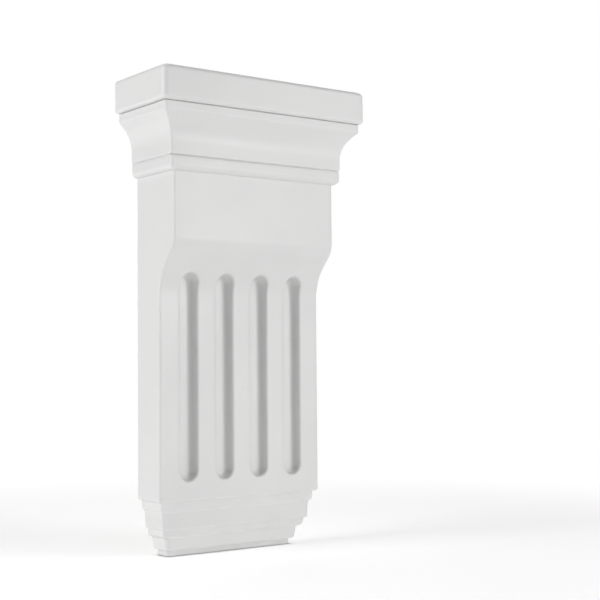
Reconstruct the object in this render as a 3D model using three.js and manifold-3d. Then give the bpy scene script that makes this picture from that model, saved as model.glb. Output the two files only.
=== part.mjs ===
// Corbel with a moulded crown, a fluted shaft and a stepped base, moulded in one piece.
// Millimetres, +Z up. The front faces -Y, the flat back lies in the plane y = 0,
// and the origin is the middle of that back, half way up.
import * as THREE from "three";
import { mergeVertices } from "three/addons/utils/BufferGeometryUtils.js";
import Module from "manifold-3d";

// Whole piece
const HEIGHT = 350;
const SHAFT_WIDTH = 142.8;
const UPPER_DEPTH = 52;
const LOWER_DEPTH = 31.2;
const CORNER_RADIUS = 1.8;
const CORNER_STEPS = 4;
const ARC_STEPS = 4;
const QUARTER = Math.PI / 2;

// Abacus: the flat block on top
const ABACUS_HEIGHT = 24.8;
const ABACUS_OUT = 18.5;
const ABACUS_TOP_ROUND = 3.6;
const ABACUS_LOWER_ROUND = 2.8;
const ABACUS_CORNER_RADIUS = 4;

// Fillet and cove under the abacus
const FILLET_OUT = 15.3;
const QUIRK_HEIGHT = 0.7;
const QUIRK_DEPTH = 1.5;
const FILLET_HEIGHT = 5.4;
const FILLET_ROUND = 2.6;
const COVE_RADIUS = 25;
const COVE_SLOPE = THREE.MathUtils.degToRad(45);
const FILLET_STEPS = 3;
const COVE_STEPS = 9;

// Neck band and bead, with a fine groove between them
const NECK_OUT = 4.8;
const NECK_ROUND = 1.1;
const GROOVE_TOP = 289.5;
const GROOVE_DEPTH = 1.4;
const BEAD_OUT = 4.4;
const BEAD_TOP_ROUND = 2;
const BEAD_FOOT = 278.4;
const BEAD_LOWER_ROUND = 4.3;
const BEAD_STEPS = 6;

// Ogee on the front, where the shaft steps back
const OGEE_TOP = 232.7;
const OGEE_NOSE_RADIUS = 15;
const OGEE_HOLLOW_RADIUS = 40;
const OGEE_SLOPE = THREE.MathUtils.degToRad(44);
const OGEE_NOSE_STEPS = 6;
const OGEE_HOLLOW_STEPS = 9;

// Stepped base: the heights of the steps over the bottom and how far each face stands in
const SHAFT_FOOT = 41.4;
const SHAFT_FOOT_ROUND = 1.9;
const FIRST_FACE_IN = 3;
const FIRST_FACE_LEAN = 0.3;
const FIRST_FACE_FOOT = 36.6;
const SECOND_FACE_TOP = 32.2;
const SECOND_FACE_IN = 5.6;
const SECOND_FACE_LEAN = 0.4;
const SECOND_FACE_FOOT = 22.5;
const SECOND_ROUND_IN = 1.7;
const THIRD_STEP = 20.5;
const THIRD_FACE_IN = 7.9;
const THIRD_FACE_LEAN = 0.3;
const THIRD_FACE_FOOT = 16.6;
const FOURTH_FACE_TOP = 13.2;
const FOURTH_FACE_IN = 12;
const FOURTH_FACE_LEAN = 0.8;
const FOURTH_FACE_FOOT = 7.2;
const LAST_STEP = 4.6;
const LAST_ROUND_IN = 14.8;
const FOOT_FILLET_IN = 16.4;
const FOOT_EDGE_ROUND = 1;
const LOW_CORNER_RADIUS = 3.2;
const SOFT_SHARE = 0.6;

// Flutes: round-ended channels cut into the lower shaft
const FLUTE_COUNT = 4;
const FLUTE_WIDTH = 16.2;
const FLUTE_PITCH = 31;
const FLUTE_DEPTH = 7.6;
const FLUTE_ROUNDNESS = 0.66;
const FLUTE_TOP = 208.1;
const FLUTE_FOOT = 55.1;
const FLUTE_STEPS = 12;
const FLUTE_DEPTH_STEPS = 7;

// Surface colour of the primed white finish
const WHITE = 0xe6e7e6;

// Radius of the two front corners of a level
function cornerRadius(out, z) {
  if (out > FILLET_OUT) return ABACUS_CORNER_RADIUS;
  return z < THIRD_STEP ? LOW_CORNER_RADIUS : CORNER_RADIUS;
}

// The outline of the piece as points from the top down: how far the mouldings stand out from
// the shaft, the height over the bottom, and the depth of the shaft's front there.
function outline() {
  const points = [];
  let out = 0;
  let z = HEIGHT;
  const to = (nextOut, nextZ, depth) => {
    out = nextOut;
    z = nextZ;
    const shaftDepth = depth ?? (z >= OGEE_TOP ? UPPER_DEPTH : LOWER_DEPTH);
    points.push({ out, z, depth: shaftDepth, corner: cornerRadius(out, z) });
  };
  // A quarter turn that leaves downwards and arrives level, or the other way round
  const turn = (nextOut, nextZ, startsLevel, steps = ARC_STEPS) => {
    const fromOut = out;
    const fromZ = z;
    for (let i = 1; i <= steps; i += 1) {
      const angle = (QUARTER * i) / steps;
      const level = startsLevel ? Math.sin(angle) : 1 - Math.cos(angle);
      const down = startsLevel ? 1 - Math.cos(angle) : Math.sin(angle);
      to(fromOut + (nextOut - fromOut) * level, fromZ + (nextZ - fromZ) * down);
    }
  };
  // A soft step: a rounded edge that flows into a small hollow
  const softStep = (nextOut, nextZ) => {
    const middleOut = out + (nextOut - out) * SOFT_SHARE;
    const middleZ = z + (nextZ - z) * SOFT_SHARE;
    const fromOut = out;
    const fromZ = z;
    for (let i = 1; i <= ARC_STEPS; i += 1) {
      const angle = (QUARTER * i) / ARC_STEPS / 2;
      const share = Math.sin(angle) / Math.sin(QUARTER / 2);
      const bow = (1 - Math.cos(angle)) / (1 - Math.cos(QUARTER / 2));
      to(fromOut + (middleOut - fromOut) * bow, fromZ + (middleZ - fromZ) * share);
    }
    const kneeOut = out;
    const kneeZ = z;
    for (let i = 1; i <= ARC_STEPS; i += 1) {
      const angle = (QUARTER * (ARC_STEPS - i)) / ARC_STEPS / 2;
      const share = 1 - Math.sin(angle) / Math.sin(QUARTER / 2);
      const bow = 1 - (1 - Math.cos(angle)) / (1 - Math.cos(QUARTER / 2));
      to(kneeOut + (nextOut - kneeOut) * bow, kneeZ + (nextZ - kneeZ) * share);
    }
  };

  // Crown
  const abacusFoot = HEIGHT - ABACUS_HEIGHT;
  const filletFoot = abacusFoot - FILLET_HEIGHT;
  to(ABACUS_OUT - ABACUS_TOP_ROUND, HEIGHT);
  turn(ABACUS_OUT, HEIGHT - ABACUS_TOP_ROUND, true);
  to(ABACUS_OUT, abacusFoot + ABACUS_LOWER_ROUND);
  turn(ABACUS_OUT - ABACUS_LOWER_ROUND, abacusFoot, false);
  to(FILLET_OUT - QUIRK_DEPTH, abacusFoot);
  to(FILLET_OUT - QUIRK_DEPTH, abacusFoot - QUIRK_HEIGHT);
  to(FILLET_OUT, abacusFoot - QUIRK_HEIGHT);
  for (let i = 0; i <= FILLET_STEPS; i += 1) {
    const angle = (COVE_SLOPE * i) / FILLET_STEPS;
    to(FILLET_OUT - FILLET_ROUND * (1 - Math.cos(angle)), filletFoot - FILLET_ROUND * Math.sin(angle));
  }
  const coveTopOut = NECK_OUT + COVE_RADIUS * (1 - Math.cos(COVE_SLOPE));
  const coveTop = z - (out - coveTopOut) / Math.tan(COVE_SLOPE);
  const coveFoot = coveTop - COVE_RADIUS * Math.sin(COVE_SLOPE);
  for (let i = COVE_STEPS; i >= 0; i -= 1) {
    const angle = (COVE_SLOPE * i) / COVE_STEPS;
    to(NECK_OUT + COVE_RADIUS * (1 - Math.cos(angle)), coveFoot + COVE_RADIUS * Math.sin(angle));
  }
  to(NECK_OUT, GROOVE_TOP + NECK_ROUND);
  turn(NECK_OUT - NECK_ROUND, GROOVE_TOP, false);
  to(NECK_OUT - GROOVE_DEPTH, GROOVE_TOP - (GROOVE_DEPTH - NECK_ROUND));
  turn(BEAD_OUT, z - BEAD_TOP_ROUND, true);
  to(BEAD_OUT, BEAD_FOOT + BEAD_LOWER_ROUND);
  turn(0, BEAD_FOOT, false, BEAD_STEPS);

  // Shaft with the ogee on its front
  to(0, OGEE_TOP, UPPER_DEPTH);
  for (let i = 1; i <= OGEE_NOSE_STEPS; i += 1) {
    const angle = (OGEE_SLOPE * i) / OGEE_NOSE_STEPS;
    const depth = UPPER_DEPTH - OGEE_NOSE_RADIUS * (1 - Math.cos(angle));
    to(0, OGEE_TOP - OGEE_NOSE_RADIUS * Math.sin(angle), depth);
  }
  const noseFoot = z;
  const noseDepth = UPPER_DEPTH - OGEE_NOSE_RADIUS * (1 - Math.cos(OGEE_SLOPE));
  const hollowDepth = LOWER_DEPTH + OGEE_HOLLOW_RADIUS * (1 - Math.cos(OGEE_SLOPE));
  const hollowTop = noseFoot - (noseDepth - hollowDepth) / Math.tan(OGEE_SLOPE);
  const ogeeFoot = hollowTop - OGEE_HOLLOW_RADIUS * Math.sin(OGEE_SLOPE);
  for (let i = OGEE_HOLLOW_STEPS; i >= 0; i -= 1) {
    const angle = (OGEE_SLOPE * i) / OGEE_HOLLOW_STEPS;
    const depth = LOWER_DEPTH + OGEE_HOLLOW_RADIUS * (1 - Math.cos(angle));
    to(0, ogeeFoot + OGEE_HOLLOW_RADIUS * Math.sin(angle), depth);
  }

  // Base
  to(0, SHAFT_FOOT + SHAFT_FOOT_ROUND);
  turn(-SHAFT_FOOT_ROUND, SHAFT_FOOT, false);
  to(-FIRST_FACE_IN, SHAFT_FOOT);
  to(-FIRST_FACE_IN - FIRST_FACE_LEAN, FIRST_FACE_FOOT);
  softStep(-SECOND_FACE_IN, SECOND_FACE_TOP);
  to(-SECOND_FACE_IN - SECOND_FACE_LEAN, SECOND_FACE_FOOT);
  turn(out - SECOND_ROUND_IN, THIRD_STEP, false);
  to(-THIRD_FACE_IN, THIRD_STEP);
  to(-THIRD_FACE_IN - THIRD_FACE_LEAN, THIRD_FACE_FOOT);
  softStep(-FOURTH_FACE_IN, FOURTH_FACE_TOP);
  to(-FOURTH_FACE_IN - FOURTH_FACE_LEAN, FOURTH_FACE_FOOT);
  turn(-LAST_ROUND_IN, LAST_STEP, false);
  to(-FOOT_FILLET_IN, LAST_STEP);
  to(-FOOT_FILLET_IN, FOOT_EDGE_ROUND);
  turn(-FOOT_FILLET_IN - FOOT_EDGE_ROUND, 0, false);
  return points;
}

// One level ring, counter-clockwise from above: two square corners at the back, two eased in front
function ring({ out, z, depth, corner }) {
  const half = SHAFT_WIDTH / 2 + out;
  const front = depth + out;
  const points = [new THREE.Vector3(half, 0, z), new THREE.Vector3(-half, 0, z)];
  for (const side of [-1, 1]) {
    for (let i = 0; i <= CORNER_STEPS; i += 1) {
      const share = side < 0 ? i / CORNER_STEPS : 1 - i / CORNER_STEPS;
      const angle = QUARTER * share;
      const x = side * (half - corner + corner * Math.cos(angle));
      const y = -(front - corner + corner * Math.sin(angle));
      points.push(new THREE.Vector3(x, y, z));
    }
  }
  return points;
}

// A ring of a flute's cutter: a slot standing upright in a plane of constant y
function slot(centre, reach, y) {
  const points = [];
  const low = FLUTE_FOOT + FLUTE_WIDTH / 2;
  const high = FLUTE_TOP - FLUTE_WIDTH / 2;
  for (const [start, z] of [[0, high], [Math.PI, low]]) {
    for (let i = 0; i <= FLUTE_STEPS; i += 1) {
      const angle = start + (Math.PI * i) / FLUTE_STEPS;
      points.push(new THREE.Vector3(centre - reach * Math.cos(angle), y, z + reach * Math.sin(angle)));
    }
  }
  return points;
}

// Joins rings into a closed body with its faces outwards; an end that has not run out is capped
function loft(rings, capEnd) {
  const positions = [];
  const face = (a, b, c) => {
    const flat = a.distanceTo(b) < 1e-6 || b.distanceTo(c) < 1e-6 || c.distanceTo(a) < 1e-6;
    if (!flat) positions.push(...a.toArray(), ...b.toArray(), ...c.toArray());
  };
  const cap = (points, turned) => {
    const centre = points.reduce((sum, p) => sum.add(p), new THREE.Vector3()).divideScalar(points.length);
    points.forEach((p, i) => {
      const next = points[(i + 1) % points.length];
      if (turned) face(centre, next, p);
      else face(centre, p, next);
    });
  };
  for (let level = 0; level + 1 < rings.length; level += 1) {
    const lower = rings[level];
    const upper = rings[level + 1];
    lower.forEach((p, i) => {
      const next = (i + 1) % lower.length;
      face(p, lower[next], upper[next]);
      face(p, upper[next], upper[i]);
    });
  }
  cap(rings[0], true);
  if (capEnd) cap(rings[rings.length - 1], false);
  const geometry = new THREE.BufferGeometry();
  geometry.setAttribute("position", new THREE.Float32BufferAttribute(positions, 3));
  return mergeVertices(geometry, 1e-4);
}

function fluteCutter(centre) {
  const rings = [slot(centre, FLUTE_WIDTH / 2, -UPPER_DEPTH)];
  for (let i = 0; i <= FLUTE_DEPTH_STEPS; i += 1) {
    const angle = (QUARTER * i) / FLUTE_DEPTH_STEPS;
    const reach = i === FLUTE_DEPTH_STEPS ? 0 : (FLUTE_WIDTH / 2) * Math.cos(angle) ** FLUTE_ROUNDNESS;
    rings.push(slot(centre, reach, -LOWER_DEPTH + FLUTE_DEPTH * Math.sin(angle) ** FLUTE_ROUNDNESS));
  }
  return loft(rings, false);
}

const wasm = await Module();
wasm.setup();

function toManifold(geometry) {
  return new wasm.Manifold(new wasm.Mesh({
    numProp: 3,
    vertProperties: new Float32Array(geometry.getAttribute("position").array),
    triVerts: new Uint32Array(geometry.getIndex().array),
  }));
}

function corbelGeometry() {
  let body = toManifold(loft(outline().reverse().map(ring), true));
  for (let i = 0; i < FLUTE_COUNT; i += 1) {
    const centre = (i - (FLUTE_COUNT - 1) / 2) * FLUTE_PITCH;
    body = body.subtract(toManifold(fluteCutter(centre)));
  }
  const mesh = body.getMesh();
  const geometry = new THREE.BufferGeometry();
  geometry.setAttribute("position", new THREE.Float32BufferAttribute(mesh.vertProperties, 3));
  geometry.setIndex(new THREE.Uint32BufferAttribute(mesh.triVerts, 1));
  geometry.translate(0, 0, -HEIGHT / 2);
  geometry.computeVertexNormals();
  return geometry;
}

const material = new THREE.MeshStandardMaterial({ color: WHITE, roughness: 0.5, metalness: 0 });
const corbel = new THREE.Mesh(corbelGeometry(), material);
corbel.name = "corbel";

const group = new THREE.Group();
group.name = "fluted_corbel";
group.add(corbel);

export default group;
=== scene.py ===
import math

import bmesh
import bpy
from mathutils import Matrix, Vector


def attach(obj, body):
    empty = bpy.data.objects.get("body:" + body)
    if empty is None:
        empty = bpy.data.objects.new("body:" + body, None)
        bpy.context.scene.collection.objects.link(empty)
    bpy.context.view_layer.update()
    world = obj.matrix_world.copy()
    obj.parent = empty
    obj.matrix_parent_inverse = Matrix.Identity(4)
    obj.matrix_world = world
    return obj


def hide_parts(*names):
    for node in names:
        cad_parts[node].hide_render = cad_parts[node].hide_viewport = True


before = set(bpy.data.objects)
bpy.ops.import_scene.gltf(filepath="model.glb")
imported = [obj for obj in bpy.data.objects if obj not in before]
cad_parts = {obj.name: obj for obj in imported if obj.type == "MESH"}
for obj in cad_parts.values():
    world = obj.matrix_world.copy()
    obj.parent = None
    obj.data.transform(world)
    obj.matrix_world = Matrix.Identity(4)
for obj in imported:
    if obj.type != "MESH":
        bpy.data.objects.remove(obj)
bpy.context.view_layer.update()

bl_info = {
    "name": "Fluted Corbel",
    "version": (1, 0, 0),
    "blender": (4, 5, 0),
    "location": "3D View > Sidebar > Corbel",
    "description": "Models a white moulded corbel with a fluted shaft, and lights it in a small studio",
    "category": "Object",
}

NODE = "corbel"
BODY = "root"
MM = 0.001
QUARTER = math.pi / 2
PIECE = "moulded_corbel"
# Lengths in metres: two levels or edges closer than NEAR are the same one, and a move under STILL is none.
NEAR = 2e-6
STILL = 1e-9


# Sizes and colours


def length(name, words, millimetres):
    """A length that the user can change, with its default given in millimetres."""
    return bpy.props.FloatProperty(
        name=name,
        description=words,
        default=millimetres * MM,
        min=0,
        unit="LENGTH",
        subtype="DISTANCE",
        precision=5,
    )


def share(name, words, default):
    return bpy.props.FloatProperty(
        name=name, description=words, default=default, min=0, max=1, subtype="FACTOR"
    )


def colour(name, words, default):
    return bpy.props.FloatVectorProperty(
        name=name, description=words, default=default, size=3, min=0, max=1, subtype="COLOR"
    )


def turn(name, words, degrees):
    """An angle that the user can change, with its default given in degrees."""
    return bpy.props.FloatProperty(
        name=name, description=words, default=math.radians(degrees), unit="ROTATION", subtype="ANGLE"
    )


class CorbelSizes(bpy.types.PropertyGroup):
    """Sizes of the whole corbel"""

    height: length("Height", "From the foot to the top of the abacus", 350)
    shaft_width: length("Shaft width", "Width of the plain shaft", 142.8)
    upper_depth: length("Upper depth", "Depth of the shaft over the ogee", 52)
    lower_depth: length("Lower depth", "Depth of the fluted shaft", 31.2)
    corner: length("Corner radius", "Radius of the two front corners", 1.8)
    ogee_top: length("Ogee top", "Height at which the front starts to step back", 232.7)
    nose_radius: length("Ogee nose", "Radius of the rounded turn at the top of the ogee", 15)
    hollow_radius: length("Ogee hollow", "Radius of the hollow under it", 40)
    ogee_slope: turn("Ogee slope", "Slope where nose and hollow meet, from the upright", 44)


class CrownSizes(bpy.types.PropertyGroup):
    """Sizes of the crown's mouldings"""

    abacus_height: length("Abacus height", "Height of the flat block on top", 24.8)
    abacus_out: length("Abacus reach", "How far the block stands out from the shaft", 18.5)
    abacus_top_round: length("Abacus top edge", "Radius of the block's upper edge", 3.6)
    abacus_foot_round: length("Abacus lower edge", "Radius of the block's lower edge", 2.8)
    abacus_corner: length("Abacus corner", "Radius of the block's two front corners", 4)
    quirk_height: length("Quirk height", "Height of the fine groove under the block", 0.7)
    quirk_depth: length("Quirk depth", "How deep that groove stands in behind the band", 1.5)
    fillet_out: length("Fillet reach", "How far the band under the block stands out", 15.3)
    fillet_height: length("Fillet height", "Upright part of that band", 5.4)
    fillet_round: length("Fillet edge", "Radius of the band's lower edge", 2.6)
    cove_radius: length("Cove radius", "Radius of the hollow under the band", 25)
    cove_slope: turn("Cove slope", "Slope at the top of the hollow, from the upright", 45)
    neck_out: length("Neck reach", "How far the neck stands out", 4.8)
    neck_round: length("Neck edge", "Radius of the neck's lower edge", 1.1)
    groove_top: length("Groove height", "Height of the groove between neck and bead", 289.5)
    groove_depth: length("Groove depth", "Depth of that groove", 1.4)
    bead_out: length("Bead reach", "How far the bead stands out", 4.4)
    bead_top_round: length("Bead upper edge", "Radius of the bead's upper edge", 2.0)
    bead_foot: length("Bead foot", "Height of the bead's underside", 278.4)
    bead_foot_round: length("Bead lower edge", "Radius of the bead's lower edge", 4.3)


class BaseSizes(bpy.types.PropertyGroup):
    """Sizes of the stepped base"""

    shaft_foot: length("Shaft foot", "Height of the shaft's lower edge", 41.4)
    shaft_foot_round: length("Shaft foot edge", "Radius of that edge", 1.9)
    first_in: length("First face", "How far the first step stands in from the shaft", 3)
    first_lean: length("First lean", "How much further in the first step is at its foot", 0.3)
    first_foot: length("First foot", "Height at which the first step starts to curve in", 36.6)
    second_top: length("Second top", "Height of the second step's upper end", 32.2)
    second_in: length("Second face", "How far the second step stands in", 5.6)
    second_lean: length("Second lean", "How much further in the second step is at its foot", 0.4)
    second_foot: length("Second foot", "Height at which the second step starts to curve in", 22.5)
    second_round: length("Second edge", "How far in the second step's lower edge curves", 1.7)
    third_step: length("Third step", "Height of the edge over the third step", 20.5)
    third_in: length("Third face", "How far the third step stands in", 7.9)
    third_lean: length("Third lean", "How much further in the third step is at its foot", 0.3)
    third_foot: length("Third foot", "Height at which the third step starts to curve in", 16.6)
    fourth_top: length("Fourth top", "Height of the fourth step's upper end", 13.2)
    fourth_in: length("Fourth face", "How far the fourth step stands in", 12)
    fourth_lean: length("Fourth lean", "How much further in the fourth step is at its foot", 0.8)
    fourth_foot: length("Fourth foot", "Height at which the fourth step starts to curve in", 7.2)
    last_step: length("Last step", "Height of the edge over the foot fillet", 4.6)
    last_in: length("Last edge", "How far in that edge has curved", 14.8)
    fillet_in: length("Foot fillet", "How far the foot fillet stands in", 16.4)
    foot_edge: length("Foot edge", "Radius of the edge that stands on the floor", 1.0)
    low_corner: length("Low corner radius", "Radius of the front corners from the third step down", 3.2)


class FluteSizes(bpy.types.PropertyGroup):
    """Sizes of the flutes in the lower shaft"""

    width: length("Flute width", "Width between the middles of the rounded lips", 16.2)
    pitch: length("Flute pitch", "Distance from one flute's middle to the next", 31)
    depth: length("Flute depth", "Depth of a flute under the lower shaft's face", 7.6)
    roundness: share("Flute roundness", "1 is an oval channel, less is a channel with a flatter floor", 0.66)
    top: length("Flute top", "Height of the flutes' upper ends", 208.1)
    foot: length("Flute foot", "Height of the flutes' lower ends", 55.1)
    lip: length("Lip radius", "Radius of the rounded lips", 1.6)
    count: bpy.props.IntProperty(name="Flutes", description="Number of flutes", default=4, min=1, max=4)


class FinishColours(bpy.types.PropertyGroup):
    """Colours and textures of the white finish"""

    white: colour("White", "Colour of the primed face", (0.75, 0.75, 0.745))
    shade: colour("Shade", "Slightly greyer white in broad soft patches", (0.725, 0.725, 0.722))
    # The pit colour is painted shade in the bottom of each pinhole and pore.
    pit: colour("Pit", "Colour in the bottom of a pinhole", (0.42, 0.42, 0.41))
    back: colour("Back", "Colour of the bare moulded back", (0.76, 0.745, 0.70))
    roughness: share("Roughness", "Roughness of the satin finish", 0.36)


# The outline: into how many steps its curves are cut, and where a soft step turns from edge to hollow

ARC_STEPS = 6
BEAD_STEPS = 9
COVE_STEPS = 14
OGEE_STEPS = 14
KNEE = 0.6


class Outline:
    """The moulding's outline, drawn from the top down: how far it stands out, and the height."""

    def __init__(self, out, z):
        self.points = [(out, z)]

    @property
    def out(self):
        return self.points[-1][0]

    @property
    def z(self):
        return self.points[-1][1]

    def to(self, out, z):
        if abs(out - self.out) > NEAR or abs(z - self.z) > NEAR:
            self.points.append((out, z))

    def quarter(self, out, z, starts_level, steps=ARC_STEPS):
        """A quarter turn that starts level and ends upright, or the other way round."""
        from_out, from_z = self.out, self.z
        for i in range(1, steps + 1):
            angle = QUARTER * i / steps
            bowed, straight = 1 - math.cos(angle), math.sin(angle)
            level, down = (straight, bowed) if starts_level else (bowed, straight)
            self.to(from_out + (out - from_out) * level, from_z + (z - from_z) * down)

    def soft_step(self, out, z):
        """A rounded edge that flows into a small hollow, as under the first and third steps."""
        from_out, from_z = self.out, self.z
        knee_out, knee_z = from_out + (out - from_out) * KNEE, from_z + (z - from_z) * KNEE
        half = QUARTER / 2
        for i in range(1, ARC_STEPS + 1):
            angle = half * i / ARC_STEPS
            along = math.sin(angle) / math.sin(half)
            bow = (1 - math.cos(angle)) / (1 - math.cos(half))
            self.to(from_out + (knee_out - from_out) * bow, from_z + (knee_z - from_z) * along)
        for i in range(1, ARC_STEPS + 1):
            angle = half * (ARC_STEPS - i) / ARC_STEPS
            along = 1 - math.sin(angle) / math.sin(half)
            bow = 1 - (1 - math.cos(angle)) / (1 - math.cos(half))
            self.to(knee_out + (out - knee_out) * bow, knee_z + (z - knee_z) * along)


def crown_outline(sizes, crown):
    """From the top of the abacus down to the upper shaft."""
    foot = sizes.height - crown.abacus_height
    line = Outline(crown.abacus_out - crown.abacus_top_round, sizes.height)
    line.quarter(crown.abacus_out, sizes.height - crown.abacus_top_round, True)
    line.to(crown.abacus_out, foot + crown.abacus_foot_round)
    line.quarter(crown.abacus_out - crown.abacus_foot_round, foot, False)
    line.to(crown.fillet_out - crown.quirk_depth, foot)
    line.to(crown.fillet_out - crown.quirk_depth, foot - crown.quirk_height)
    line.to(crown.fillet_out, foot - crown.quirk_height)

    fillet_foot = foot - crown.fillet_height
    for i in range(ARC_STEPS + 1):
        angle = crown.cove_slope * i / ARC_STEPS
        inward, down = crown.fillet_round * (1 - math.cos(angle)), crown.fillet_round * math.sin(angle)
        line.to(crown.fillet_out - inward, fillet_foot - down)
    reach = crown.cove_radius * (1 - math.cos(crown.cove_slope))
    cove_top = line.z - (line.out - crown.neck_out - reach) / math.tan(crown.cove_slope)
    cove_foot = cove_top - crown.cove_radius * math.sin(crown.cove_slope)
    for i in range(COVE_STEPS, -1, -1):
        angle = crown.cove_slope * i / COVE_STEPS
        outward, up = crown.cove_radius * (1 - math.cos(angle)), crown.cove_radius * math.sin(angle)
        line.to(crown.neck_out + outward, cove_foot + up)

    line.to(crown.neck_out, crown.groove_top + crown.neck_round)
    line.quarter(crown.neck_out - crown.neck_round, crown.groove_top, False)
    line.to(crown.neck_out - crown.groove_depth, crown.groove_top - (crown.groove_depth - crown.neck_round))
    line.quarter(crown.bead_out, line.z - crown.bead_top_round, True)
    line.to(crown.bead_out, crown.bead_foot + crown.bead_foot_round)
    line.quarter(0, crown.bead_foot, False, BEAD_STEPS)
    return line.points


def base_outline(base):
    """From the foot of the shaft down to the ground."""
    line = Outline(0, base.shaft_foot + base.shaft_foot_round)
    line.quarter(-base.shaft_foot_round, base.shaft_foot, False)
    line.to(-base.first_in, base.shaft_foot)
    line.to(-base.first_in - base.first_lean, base.first_foot)
    line.soft_step(-base.second_in, base.second_top)
    line.to(-base.second_in - base.second_lean, base.second_foot)
    line.quarter(line.out - base.second_round, base.third_step, False)
    line.to(-base.third_in, base.third_step)
    line.to(-base.third_in - base.third_lean, base.third_foot)
    line.soft_step(-base.fourth_in, base.fourth_top)
    line.to(-base.fourth_in - base.fourth_lean, base.fourth_foot)
    line.quarter(-base.last_in, base.last_step, False)
    line.to(-base.fillet_in, base.last_step)
    line.to(-base.fillet_in, base.foot_edge)
    line.quarter(-base.fillet_in - base.foot_edge, 0, False)
    return line.points


def shaft_depth(sizes, z):
    """Depth of the shaft's front at a height: the ogee's nose, its straight part and its hollow."""
    slope = sizes.ogee_slope
    nose_foot = sizes.ogee_top - sizes.nose_radius * math.sin(slope)
    nose_depth = sizes.upper_depth - sizes.nose_radius * (1 - math.cos(slope))
    hollow_depth = sizes.lower_depth + sizes.hollow_radius * (1 - math.cos(slope))
    hollow_top = nose_foot - (nose_depth - hollow_depth) / math.tan(slope)
    hollow_foot = hollow_top - sizes.hollow_radius * math.sin(slope)
    if z >= sizes.ogee_top:
        return sizes.upper_depth
    if z >= nose_foot:
        drop = sizes.ogee_top - z
        return sizes.upper_depth - sizes.nose_radius + math.sqrt(sizes.nose_radius**2 - drop**2)
    if z >= hollow_top:
        return nose_depth - (nose_foot - z) * math.tan(slope)
    if z > hollow_foot:
        rise = z - hollow_foot
        return sizes.lower_depth + sizes.hollow_radius - math.sqrt(sizes.hollow_radius**2 - rise**2)
    return sizes.lower_depth


# The flutes' grid. Each flute has a tile of rows and columns, whose rings run from the tile's edge inwards:
# flat guard rings, the rounded lip and the channel. The shaft starts to curve in the CURVED_LENGTH under the
# flutes' upper ends, so half of the straight rows lie there.

GUARD_RINGS = 3
LIP_RINGS = 4
CHANNEL_RINGS = 10
HALF_TILE = GUARD_RINGS + LIP_RINGS + CHANNEL_RINGS
STRAIGHT_ROWS = 22
CURVED_LENGTH = 20 * MM
TILE_ROWS = 2 * HALF_TILE + STRAIGHT_ROWS
MARGIN_COLUMNS = 3
CORNER_STEPS = 6


def tile_heights(sizes, flutes):
    """Heights of the grid's rows where it runs straight past the flutes, from the foot up."""
    reach = flutes.pitch / 2
    low, high = flutes.foot + flutes.width / 2, flutes.top - flutes.width / 2
    lower_rows = STRAIGHT_ROWS // 2
    bend = high - CURVED_LENGTH
    heights = [low - reach + reach * i / HALF_TILE for i in range(HALF_TILE)]
    heights += [low + (bend - low) * i / lower_rows for i in range(lower_rows)]
    upper_rows = STRAIGHT_ROWS - lower_rows
    heights += [bend + (high - bend) * i / upper_rows for i in range(upper_rows)]
    heights += [high + reach * i / HALF_TILE for i in range(HALF_TILE + 1)]
    return heights


def body_levels(scene):
    """Every level from the ground up: its half width, height, depth and corner radius."""
    sizes, crown, base = scene.corbel_sizes, scene.corbel_crown, scene.corbel_base
    tile = tile_heights(sizes, scene.corbel_flutes)
    rise = sizes.ogee_top - tile[-1]
    levels = list(reversed(base_outline(base)))
    levels += [(0, z) for z in tile]
    levels += [(0, tile[-1] + rise * i / OGEE_STEPS) for i in range(1, OGEE_STEPS + 1)]
    levels += list(reversed(crown_outline(sizes, crown)))

    def corner(out, z):
        if out > crown.fillet_out + NEAR:
            return crown.abacus_corner
        return base.low_corner if z < base.third_step - NEAR else sizes.corner

    half = sizes.shaft_width / 2
    return [(half + out, z, shaft_depth(sizes, z) + out, corner(out, z)) for out, z in levels]


def column_shares(sizes, flutes):
    """Places of the front's columns, as shares of its half width between the corners."""
    edge = sizes.shaft_width / 2 - sizes.corner
    first = -flutes.pitch * flutes.count / 2
    count = 2 * HALF_TILE * flutes.count
    columns = [-edge + (first + edge) * i / MARGIN_COLUMNS for i in range(MARGIN_COLUMNS)]
    columns += [first - 2 * first * i / count for i in range(count + 1)]
    columns += [-x for x in reversed(columns[:MARGIN_COLUMNS])]
    return [x / edge for x in columns]


# Modelling helpers

SMOOTH_ANGLE = math.radians(32)


def select_only(mesh, chosen):
    """Selects just these vertices, by number, and what lies between them."""
    form = bmesh.from_edit_mesh(mesh)
    form.verts.ensure_lookup_table()
    for vert in form.verts:
        vert.select = False
    form.select_flush(False)
    for number in chosen:
        form.verts[number].select = True
    form.select_flush(True)
    bmesh.update_edit_mesh(mesh, loop_triangles=False, destructive=False)


def places(mesh, chosen):
    """Where these vertices are, by number."""
    form = bmesh.from_edit_mesh(mesh)
    form.verts.ensure_lookup_table()
    return {number: form.verts[number].co.copy() for number in chosen}


def shift(mesh, chosen, by):
    """Moves these vertices, where there are any and the move is one."""
    if chosen and Vector(by).length > STILL:
        select_only(mesh, chosen)
        bpy.ops.transform.translate(value=by)


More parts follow.
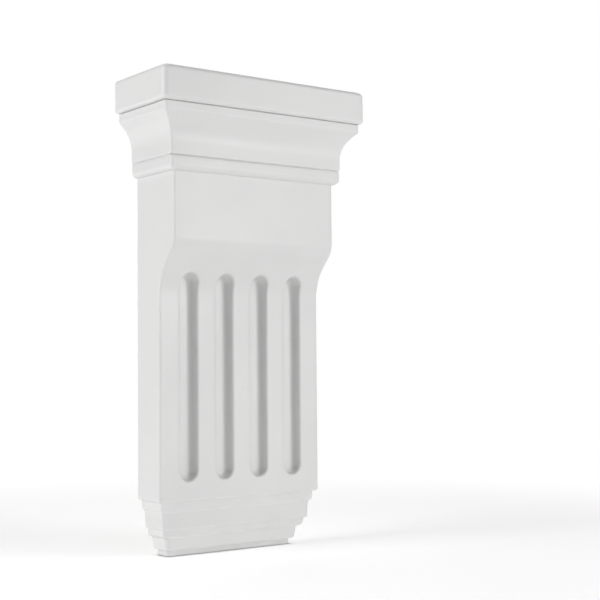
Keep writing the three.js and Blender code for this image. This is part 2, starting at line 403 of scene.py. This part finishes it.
def start_foot(scene, level):
    """The foot's outline as one flat face: a plane with rounded front corners and the front's columns."""
    sizes = scene.corbel_sizes
    half, z, front, corner = level
    bpy.ops.object.select_all(action="DESELECT")
    bpy.ops.mesh.primitive_plane_add(size=1, location=(0, 0, 0))
    body = bpy.context.object
    body.name = body.data.name = PIECE
    mesh = body.data
    bpy.ops.object.mode_set(mode="EDIT")
    bpy.context.tool_settings.mesh_select_mode = (True, False, False)
    bpy.ops.transform.resize(value=(2 * half, front, 1), center_override=(0, 0, 0))
    bpy.ops.transform.translate(value=(0, -front / 2, z - sizes.height / 2))
    form = bmesh.from_edit_mesh(mesh)
    select_only(mesh, [v.index for v in form.verts if v.co.y < -front / 2])
    bpy.ops.mesh.bevel(offset=corner, offset_type="OFFSET", segments=CORNER_STEPS, affect="VERTICES")
    form = bmesh.from_edit_mesh(mesh)
    select_only(mesh, [v.index for v in form.verts if v.co.y < -front + NEAR])
    shares = column_shares(sizes, scene.corbel_flutes)
    bpy.ops.mesh.subdivide(number_cuts=1, ngon=True)
    bpy.ops.mesh.subdivide(number_cuts=len(shares) // 2 - 1, ngon=True)
    form = bmesh.from_edit_mesh(mesh)
    row = sorted((v for v in form.verts if v.co.y < -front + NEAR), key=lambda v: v.co.x)
    if len(row) != len(shares):
        raise RuntimeError(f"the front has {len(row)} columns, not {len(shares)}")
    for vert, place in zip(row, shares):
        vert.co.x = place * (half - corner)
    bmesh.update_edit_mesh(mesh)
    bpy.ops.mesh.select_all(action="SELECT")
    return body


def raise_level(mesh, lower, upper):
    """Extrudes the top face to the next level and moves its sides, front and corners out or in."""
    half, z, front, corner = lower
    new_half, new_z, new_front, new_corner = upper
    bpy.ops.mesh.extrude_region_move(TRANSFORM_OT_translate={"value": (0, 0, new_z - z)})
    form = bmesh.from_edit_mesh(mesh)
    ring = [v.index for v in form.verts if v.select]
    wider = (new_half - new_corner) - (half - corner)
    deeper = (new_front - new_corner) - (front - corner)
    rounder = new_corner - corner
    if max(abs(wider), abs(deeper), abs(rounder)) < STILL:
        return
    at = places(mesh, ring)
    side, face = half - corner - NEAR, front - corner - NEAR
    ends = {sign: [n for n in ring if sign * at[n].x >= side] for sign in (-1, 1)}
    middle = [n for n in ring if abs(at[n].x) < side]
    fore = {n for n in ring if at[n].y <= -face}
    if abs(wider) > STILL:
        select_only(mesh, middle)
        bpy.ops.transform.resize(value=(1 + wider / (half - corner), 1, 1), center_override=(0, 0, 0))
    shift(mesh, fore, (0, -deeper, 0))
    shift(mesh, middle, (0, -rounder, 0))
    for sign, end in ends.items():
        shift(mesh, end, (sign * wider, 0, 0))
        if abs(rounder) > STILL:
            shift(mesh, [n for n in end if n not in fore], (sign * rounder, 0, 0))
            select_only(mesh, [n for n in end if n in fore])
            centre = (sign * (new_half - new_corner), new_corner - new_front, 0)
            grown = new_corner / corner
            bpy.ops.transform.resize(value=(grown, grown, 1), center_override=centre)
    select_only(mesh, ring)


def flute_rings(flutes):
    """Each ring of a flute as (how round it is, its reach from the middle line, its sink)."""
    lip = flutes.lip
    reach = flutes.width / 2 - lip / 2
    rings = [(i / GUARD_RINGS, reach + 2 * lip, 0) for i in range(GUARD_RINGS)]
    rings.append((1, reach + 2 * lip, 0))
    for i in range(LIP_RINGS):
        angle = QUARTER * i / (LIP_RINGS - 1)
        rings.append((1, reach + lip - lip * math.sin(angle), lip * (1 - math.cos(angle))))
    for i in range(1, CHANNEL_RINGS + 1):
        angle = QUARTER * i / CHANNEL_RINGS
        across = math.cos(angle) ** flutes.roundness if i < CHANNEL_RINGS else 0
        rings.append((1, reach * across, -(math.sin(angle) ** flutes.roundness)))
    return rings


def flute_point(sizes, flutes, rings, heights, column, row):
    """Where a point of a flute's grid goes: across from the flute's middle, its height and its depth."""
    ring = min(column, 2 * HALF_TILE - column, row, TILE_ROWS - row)
    roundness, reach, sink = rings[ring]
    span = HALF_TILE - ring
    half = flutes.pitch / 2
    centre, up = flutes.foot + flutes.width / 2, -1
    if row > TILE_ROWS // 2:
        centre, up = flutes.top - flutes.width / 2, 1
    side = -1 if column < HALF_TILE else 1
    beyond = max(HALF_TILE - row, row - (TILE_ROWS - HALF_TILE), 0)
    if ring in (row, TILE_ROWS - row):
        along = (column - HALF_TILE) / span if span else 0
        angle = QUARTER - along * QUARTER / 2
        square = (along * half, centre + up * half)
        bowed = (reach * math.cos(angle), centre + up * reach * math.sin(angle))
    elif beyond:
        along = beyond / span
        angle = along * QUARTER / 2
        square = (side * half, centre + up * along * half)
        bowed = (side * reach * math.cos(angle), centre + up * reach * math.sin(angle))
    else:
        square, bowed = (side * half, heights[row]), (side * reach, heights[row])
    x = square[0] + (bowed[0] - square[0]) * roundness
    z = square[1] + (bowed[1] - square[1]) * roundness
    depth = shaft_depth(sizes, z)
    if sink >= 0:
        return x, z, depth - sink
    floor = flutes.depth + depth - sizes.lower_depth
    return x, z, depth - flutes.lip + (floor - flutes.lip) * sink


def cut_flutes(body, scene):
    """Shapes the front's grid into flutes with round ends and eased lips."""
    sizes, flutes = scene.corbel_sizes, scene.corbel_flutes
    heights = tile_heights(sizes, flutes)
    columns = len(column_shares(sizes, flutes))
    half = sizes.height / 2
    edge = sizes.shaft_width / 2 - sizes.corner + NEAR
    bpy.ops.object.mode_set(mode="EDIT")
    form = bmesh.from_edit_mesh(body.data)
    rows = []
    for z in heights:
        front = -shaft_depth(sizes, z)
        level = [v for v in form.verts if abs(v.co.z + half - z) < NEAR and abs(v.co.y - front) < NEAR]
        row = sorted((v for v in level if abs(v.co.x) < edge), key=lambda v: v.co.x)
        if len(row) != columns:
            raise RuntimeError(f"a row of the shaft's front has {len(row)} points, not {columns}")
        rows.append(row)
    rings = flute_rings(flutes)
    for number in range(flutes.count):
        middle = (number - (flutes.count - 1) / 2) * flutes.pitch
        first = MARGIN_COLUMNS + 2 * HALF_TILE * number
        for row in range(1, TILE_ROWS):
            for column in range(1, 2 * HALF_TILE):
                x, z, depth = flute_point(sizes, flutes, rings, heights, column, row)
                rows[row][first + column].co = (middle + x, -depth, z - half)
    bmesh.update_edit_mesh(body.data)
    bpy.ops.object.mode_set(mode="OBJECT")


# Materials: how nodes are laid out, the noises of the paint, and the pinholes of the face and of the back

NODES_IN_ROW = 6
NODE_LEFT = -900
NODE_WIDTH = 220
NODE_HEIGHT = 260
WHITE = (1, 1, 1, 1)
ROLL_NOISE = {"Scale": 38.0, "Detail": 2.0, "Roughness": 0.4}
PEEL_NOISE = {"Scale": 620.0, "Detail": 2.0, "Roughness": 0.5}
PATCH_NOISE = {"Scale": 11.0, "Detail": 3.0, "Roughness": 0.55}
PATCH_RAMP = (0.3, 0.7)
PAINT_FILM = {"Roll": 0.22 * MM, "Peel": 0.012 * MM}
FACE_PINHOLES = {"Spacing": 16 * MM, "Size": 0.55 * MM, "Amount": 0.12}
BACK_PORES = {"Spacing": 3.5 * MM, "Size": 0.6 * MM, "Amount": 0.45}
BACK_RAMP = (-0.4 * MM, -0.05 * MM)
PIT_FLOOR = 0.45
# How far a pinhole's colour goes towards the pit colour: painted shade in the pits.
PIT_SHADE_SHARE = 0.55
PIT_DEPTH = 0.4 * MM
PATCH_ROUGHNESS = 0.05
BACK_ROUGHNESS = 0.25
BUMP_STRENGTH = 0.6
PAINT_IOR = 1.46


class Nodes:
    """Adds shader nodes in rows and joins them."""

    def __init__(self, tree):
        self.tree = tree
        self.count = 0
        tree.nodes.clear()

    def add(self, kind, inputs=None, **settings):
        node = self.tree.nodes.new(kind)
        row, column = divmod(self.count, NODES_IN_ROW)
        node.location = (NODE_LEFT + NODE_WIDTH * column, -NODE_HEIGHT * row)
        self.count += 1
        for key, value in settings.items():
            setattr(node, key, value)
        for key, value in (inputs or {}).items():
            if isinstance(value, bpy.types.NodeSocket):
                self.tree.links.new(value, node.inputs[key])
            else:
                node.inputs[key].default_value = value
        return node

    def math(self, operation, *values):
        return self.add("ShaderNodeMath", dict(enumerate(values)), operation=operation).outputs[0]

    def ramp(self, value, low, high):
        """0 below low, 1 over high, and smooth between."""
        inputs = {"Value": value, "From Min": low, "From Max": high}
        return self.add("ShaderNodeMapRange", inputs, interpolation_type="SMOOTHSTEP").outputs[0]

    def mix(self, factor, a, b):
        node = self.add("ShaderNodeMix", data_type="RGBA")
        for name, value in (("Factor_Float", factor), ("A_Color", a), ("B_Color", b)):
            socket = next(s for s in node.inputs if s.identifier == name)
            if isinstance(value, bpy.types.NodeSocket):
                self.tree.links.new(value, socket)
            else:
                socket.default_value = value
        return next(s for s in node.outputs if s.identifier == "Result_Color")


def new_group(name, inputs, outputs):
    """An empty node group with a vector input, and with these numbers in and out."""
    group = bpy.data.node_groups.new(name, "ShaderNodeTree")
    group.interface.new_socket(name="Vector", in_out="INPUT", socket_type="NodeSocketVector")
    for way, names in (("INPUT", inputs), ("OUTPUT", outputs)):
        for socket in names:
            group.interface.new_socket(name=socket, in_out=way, socket_type="NodeSocketFloat")
    return group


def pinhole_group():
    """Sparse pinholes, as trapped air leaves in a moulded skin: a mask that is 1 in the pit."""
    group = new_group("Pinholes", ("Spacing", "Size", "Amount"), ("Mask",))
    nodes = Nodes(group)
    entry = nodes.add("NodeGroupInput").outputs
    scale = nodes.math("DIVIDE", 1.0, entry["Spacing"])
    cells = nodes.add("ShaderNodeTexVoronoi", {"Vector": entry["Vector"], "Scale": scale, "Randomness": 1.0})
    away = nodes.math("MULTIPLY", cells.outputs["Distance"], entry["Spacing"])
    pit_floor = nodes.math("MULTIPLY", entry["Size"], PIT_FLOOR)
    inside = nodes.math("SUBTRACT", 1.0, nodes.ramp(away, pit_floor, entry["Size"]))
    lot = nodes.add("ShaderNodeSeparateColor", {"Color": cells.outputs["Color"]})
    chosen = nodes.math("LESS_THAN", lot.outputs[0], entry["Amount"])
    nodes.add("NodeGroupOutput", {"Mask": nodes.math("MULTIPLY", inside, chosen)})
    return group


def paint_group():
    """Paint laid over a moulded skin: a height that rolls softly, with a fine orange peel."""
    group = new_group("Paint film", ("Roll", "Peel"), ("Height", "Patches"))
    nodes = Nodes(group)
    entry = nodes.add("NodeGroupInput").outputs

    def noise(settings):
        return nodes.add("ShaderNodeTexNoise", {"Vector": entry["Vector"], **settings}).outputs[0]

    roll, peel, patches = noise(ROLL_NOISE), noise(PEEL_NOISE), noise(PATCH_NOISE)
    roll = nodes.math("MULTIPLY", roll, entry["Roll"])
    peel = nodes.math("MULTIPLY", peel, entry["Peel"])
    height = nodes.math("ADD", roll, peel)
    nodes.add("NodeGroupOutput", {"Height": height, "Patches": nodes.ramp(patches, *PATCH_RAMP)})
    return group


def white_finish(finish):
    """Satin white primer, with a few pinholes, over a bare and duller moulded back; the pinholes and the
    back's pores are darkened by painted shade.
    """
    material = bpy.data.materials.new("white satin primer")
    material.use_nodes = True
    nodes = Nodes(material.node_tree)
    place = nodes.add("ShaderNodeTexCoord").outputs["Object"]
    depth = nodes.add("ShaderNodeSeparateXYZ", {"Vector": place}).outputs["Y"]
    on_back = nodes.ramp(depth, *BACK_RAMP)

    film = nodes.add("ShaderNodeGroup", {"Vector": place, **PAINT_FILM}, node_tree=paint_group())
    holes = nodes.add("ShaderNodeGroup", {"Vector": place, **FACE_PINHOLES}, node_tree=pinhole_group())
    pores = nodes.add("ShaderNodeGroup", {"Vector": place, **BACK_PORES}, node_tree=holes.node_tree)

    pits = nodes.math("ADD", holes.outputs["Mask"], nodes.math("MULTIPLY", pores.outputs["Mask"], on_back))
    pits = nodes.math("MINIMUM", pits, 1.0)
    patches = film.outputs["Patches"]
    face = nodes.mix(patches, (*finish.white, 1), (*finish.shade, 1))
    base = nodes.mix(on_back, face, (*finish.back, 1))
    # Painted shade: the pinholes and the back's pores are darkened towards the pit colour.
    pit_shaded_tone = nodes.mix(nodes.math("MULTIPLY", pits, PIT_SHADE_SHARE), base, (*finish.pit, 1))
    rough = nodes.math("ADD", finish.roughness, nodes.math("MULTIPLY", patches, PATCH_ROUGHNESS))
    rough = nodes.math("ADD", rough, nodes.math("MULTIPLY", on_back, BACK_ROUGHNESS))
    height = nodes.math("SUBTRACT", film.outputs["Height"], nodes.math("MULTIPLY", pits, PIT_DEPTH))
    bump = nodes.add("ShaderNodeBump", {"Height": height, "Strength": BUMP_STRENGTH, "Distance": 1.0})
    shader = nodes.add(
        "ShaderNodeBsdfPrincipled",
        {"Base Color": pit_shaded_tone, "Roughness": rough, "Normal": bump.outputs["Normal"], "IOR": PAINT_IOR},
    )
    nodes.add("ShaderNodeOutputMaterial", {"Surface": shader.outputs[0]})
    return material


# The studio: where the camera stands and how far it sees, the pale floor, and the lights

CAMERA_PLACE = (-0.5339, -0.8233, -0.0357)
CAMERA_YAW = 36.625
CAMERA_PITCH = 2.936
CAMERA_ROLL = -0.502
CAMERA_FOCUS = 1268.7
PICTURE_SIZE = 600
SENSOR = 36.0
CLIP_START = 0.05

FLOOR_SIZE = 12
FLOOR_COLOUR = (0.85, 0.85, 0.85, 1)
FLOOR_ROUGHNESS = 0.6
FLOOR_FADE = (0.22, 0.65)
# Width over which the floor's glow comes back around the foot's outline: a painted contact shadow.
CONTACT_SHADOW_FADE = 4 * MM
FLOOR_LIFT = 0.07
FLOOR_GLOW = 0.36
FAR_FLOOR_LIGHT = 0.73

# Each light's name, its place, what it points at, the side of its square in metres and its power in watts
LIGHTS = (
    ("low key light", (0.6, -1.26, 0.085), (0, 0, 0), 0.5, 6.3),
    ("high key light", (0.695, -0.993, 0.7), (0, 0, 0), 0.5, 2.8),
    ("left light", (-1.205, 0.042, 0.487), (0, 0, 0), 0.5, 7.2),
    ("left rear light", (-1.261, 0.315, 0.0), (0, 0, 0), 0.5, 4.0),
    ("front overhead softbox", (0, -1.0, 1.5), (0, -1.0, 0), 1.6, 6.4),
    ("rear overhead softbox", (0, 1.0, 1.5), (0, 1.0, 0), 1.6, 9.4),
    ("rear fill", (0.9, 1.3, 0.5), (0, 0, 0), 0.8, 2.0),
)


def camera_frame(yaw, pitch, roll):
    """The camera's right, up and back directions, for a camera that looks along +Y at yaw 0."""
    a, b, c = (math.radians(v) for v in (yaw, pitch, roll))
    forward = Vector((math.sin(a) * math.cos(b), math.cos(a) * math.cos(b), math.sin(b)))
    right = Vector((math.cos(a), -math.sin(a), 0))
    up = right.cross(forward)
    return math.cos(c) * right + math.sin(c) * up, math.cos(c) * up - math.sin(c) * right, -forward


def add_light(name, place, aim, side, power):
    bpy.ops.object.light_add(type="AREA", location=place)
    light = bpy.context.object
    light.name = light.data.name = name
    light.data.shape = "SQUARE"
    light.data.size = side
    light.data.energy = power
    light.rotation_euler = (Vector(aim) - Vector(place)).to_track_quat("-Z", "Y").to_euler()


def floor_material(half_width, half_depth, middle):
    """Pale matt floor, lifted towards white where the camera sees it, that runs out into plain white.

    The three lengths give the outline that stands on the floor, where it isn't lifted: there the floor's
    glow and lift are taken out, and they come back over a few millimetres around it, a painted contact
    shadow under the foot."""
    material = bpy.data.materials.new("pale studio floor")
    material.use_nodes = True
    nodes = Nodes(material.node_tree)
    place = nodes.add("ShaderNodeTexCoord").outputs["Object"]
    away = nodes.add("ShaderNodeVectorMath", {0: place}, operation="LENGTH").outputs["Value"]
    fade = nodes.ramp(away, *FLOOR_FADE)
    parts = nodes.add("ShaderNodeSeparateXYZ", {"Vector": place}).outputs
    beside = nodes.math("SUBTRACT", nodes.math("ABSOLUTE", parts["X"]), half_width)
    beside = nodes.math("MAXIMUM", beside, 0.0)
    ahead = nodes.math("ABSOLUTE", nodes.math("SUBTRACT", parts["Y"], middle))
    ahead = nodes.math("MAXIMUM", nodes.math("SUBTRACT", ahead, half_depth), 0.0)
    squares = nodes.math("ADD", nodes.math("POWER", beside, 2.0), nodes.math("POWER", ahead, 2.0))
    # Painted contact shadow: the floor's glow and lift are none at the foot's outline and come back around
    # it.
    clear = nodes.ramp(nodes.math("SQRT", squares), 0.0, CONTACT_SHADOW_FADE)
    seen = nodes.add("ShaderNodeLightPath").outputs["Is Camera Ray"]
    shine = nodes.math("ADD", nodes.math("MULTIPLY", seen, FLOOR_LIFT), FLOOR_GLOW)
    shine = nodes.math("MULTIPLY", shine, clear)
    near = nodes.add(
        "ShaderNodeBsdfPrincipled",
        {
            "Base Color": FLOOR_COLOUR,
            "Roughness": FLOOR_ROUGHNESS,
            "Emission Color": WHITE,
            "Emission Strength": shine,
        },
    )
    light = nodes.math("ADD", nodes.math("MULTIPLY", seen, 1.0 - FAR_FLOOR_LIGHT), FAR_FLOOR_LIGHT)
    far = nodes.add("ShaderNodeEmission", {"Color": WHITE, "Strength": light})
    both = nodes.add("ShaderNodeMixShader", {0: fade, 1: near.outputs[0], 2: far.outputs[0]})
    nodes.add("ShaderNodeOutputMaterial", {"Surface": both.outputs[0]})
    return material


def white_world():
    """White all round where the camera sees it. It lights nothing."""
    world = bpy.data.worlds.new("white studio")
    world.use_nodes = True
    nodes = Nodes(world.node_tree)
    seen = nodes.add("ShaderNodeLightPath").outputs["Is Camera Ray"]
    sky = nodes.add("ShaderNodeBackground", {"Color": WHITE, "Strength": seen})
    nodes.add("ShaderNodeOutputWorld", {"Surface": sky.outputs[0]})
    return world


# The operators, and their panel


class CORBEL_OT_body(bpy.types.Operator):
    """Model the moulded body, level by level, from its foot to the top of the abacus"""

    bl_idname = "corbel.body"
    bl_label = "Moulded body"

    def execute(self, context):
        scene = context.scene
        levels = body_levels(scene)
        body = start_foot(scene, levels[0])
        for lower, upper in zip(levels, levels[1:]):
            raise_level(body.data, lower, upper)
        bpy.ops.object.mode_set(mode="OBJECT")
        return {"FINISHED"}


class CORBEL_OT_flutes(bpy.types.Operator):
    """Cut the round-ended flutes into the front of the shaft, and smooth the finished body"""

    bl_idname = "corbel.flutes"
    bl_label = "Flutes"

    def execute(self, context):
        body = bpy.data.objects[PIECE]
        cut_flutes(body, context.scene)
        bpy.ops.object.mode_set(mode="EDIT")
        bpy.ops.mesh.select_all(action="SELECT")
        bpy.ops.mesh.normals_make_consistent(inside=False)
        bpy.ops.object.mode_set(mode="OBJECT")
        bpy.ops.object.shade_smooth_by_angle(angle=SMOOTH_ANGLE)
        weights = body.modifiers.new("even faces", "WEIGHTED_NORMAL")
        weights.keep_sharp = True
        bpy.ops.object.modifier_apply(modifier=weights.name)
        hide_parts(NODE)
        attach(body, BODY)
        return {"FINISHED"}


class CORBEL_OT_finish(bpy.types.Operator):
    """Paint the corbel satin white"""

    bl_idname = "corbel.finish"
    bl_label = "White finish"

    def execute(self, context):
        body = bpy.data.objects[PIECE]
        body.data.materials.clear()
        body.data.materials.append(white_finish(context.scene.corbel_finish))
        return {"FINISHED"}


class CORBEL_OT_studio(bpy.types.Operator):
    """Set up the pale floor, the soft lights and the camera"""

    bl_idname = "corbel.studio"
    bl_label = "Studio"

    def execute(self, context):
        scene = context.scene
        sizes, fillet_in = scene.corbel_sizes, scene.corbel_base.fillet_in
        half_width = sizes.shaft_width / 2 - fillet_in
        half_depth = (sizes.lower_depth - fillet_in) / 2
        bpy.ops.object.select_all(action="DESELECT")
        bpy.ops.mesh.primitive_plane_add(size=FLOOR_SIZE, location=(0, 0, -sizes.height / 2))
        floor = context.object
        floor.name = "studio_floor"
        floor.data.materials.append(floor_material(half_width, half_depth, -half_depth))

        for settings in LIGHTS:
            add_light(*settings)
        scene.world = white_world()
        scene.view_settings.view_transform = "Standard"
        scene.view_settings.look = "None"
        scene.view_settings.exposure = 0
        scene.view_settings.gamma = 1

        bpy.ops.object.camera_add(location=CAMERA_PLACE)
        camera = context.object
        camera.name = "studio_camera"
        right, up, back = camera_frame(CAMERA_YAW, CAMERA_PITCH, CAMERA_ROLL)
        turned = Matrix((right, up, back)).transposed().to_4x4()
        camera.matrix_world = Matrix.Translation(CAMERA_PLACE) @ turned
        camera.data.sensor_width = SENSOR
        camera.data.lens = CAMERA_FOCUS * SENSOR / PICTURE_SIZE
        camera.data.clip_start = CLIP_START
        scene.camera = camera
        return {"FINISHED"}


class CORBEL_PT_sidebar(bpy.types.Panel):
    """The corbel's steps and sizes in the 3D view's sidebar"""

    bl_label = "Corbel"
    bl_idname = "CORBEL_PT_sidebar"
    bl_space_type = "VIEW_3D"
    bl_region_type = "UI"
    bl_category = "Corbel"

    def draw(self, context):
        layout = self.layout
        for operator in (CORBEL_OT_body, CORBEL_OT_flutes, CORBEL_OT_finish, CORBEL_OT_studio):
            layout.operator(operator.bl_idname)
        for group in GROUPS:
            box = layout.box()
            box.label(text=group.__doc__)
            settings = getattr(context.scene, GROUPS[group])
            for name in group.__annotations__:
                box.prop(settings, name)


GROUPS = {
    CorbelSizes: "corbel_sizes",
    CrownSizes: "corbel_crown",
    BaseSizes: "corbel_base",
    FluteSizes: "corbel_flutes",
    FinishColours: "corbel_finish",
}
CLASSES = (CORBEL_OT_body, CORBEL_OT_flutes, CORBEL_OT_finish, CORBEL_OT_studio, CORBEL_PT_sidebar)


def register():
    for group, name in GROUPS.items():
        bpy.utils.register_class(group)
        setattr(bpy.types.Scene, name, bpy.props.PointerProperty(type=group))
    for item in CLASSES:
        bpy.utils.register_class(item)


def unregister():
    for item in reversed(CLASSES):
        bpy.utils.unregister_class(item)
    for group, name in reversed(GROUPS.items()):
        delattr(bpy.types.Scene, name)
        bpy.utils.unregister_class(group)


def main():
    register()
    bpy.ops.corbel.body()
    bpy.ops.corbel.flutes()
    bpy.ops.corbel.finish()
    bpy.ops.corbel.studio()


if __name__ == "__main__":
    main()
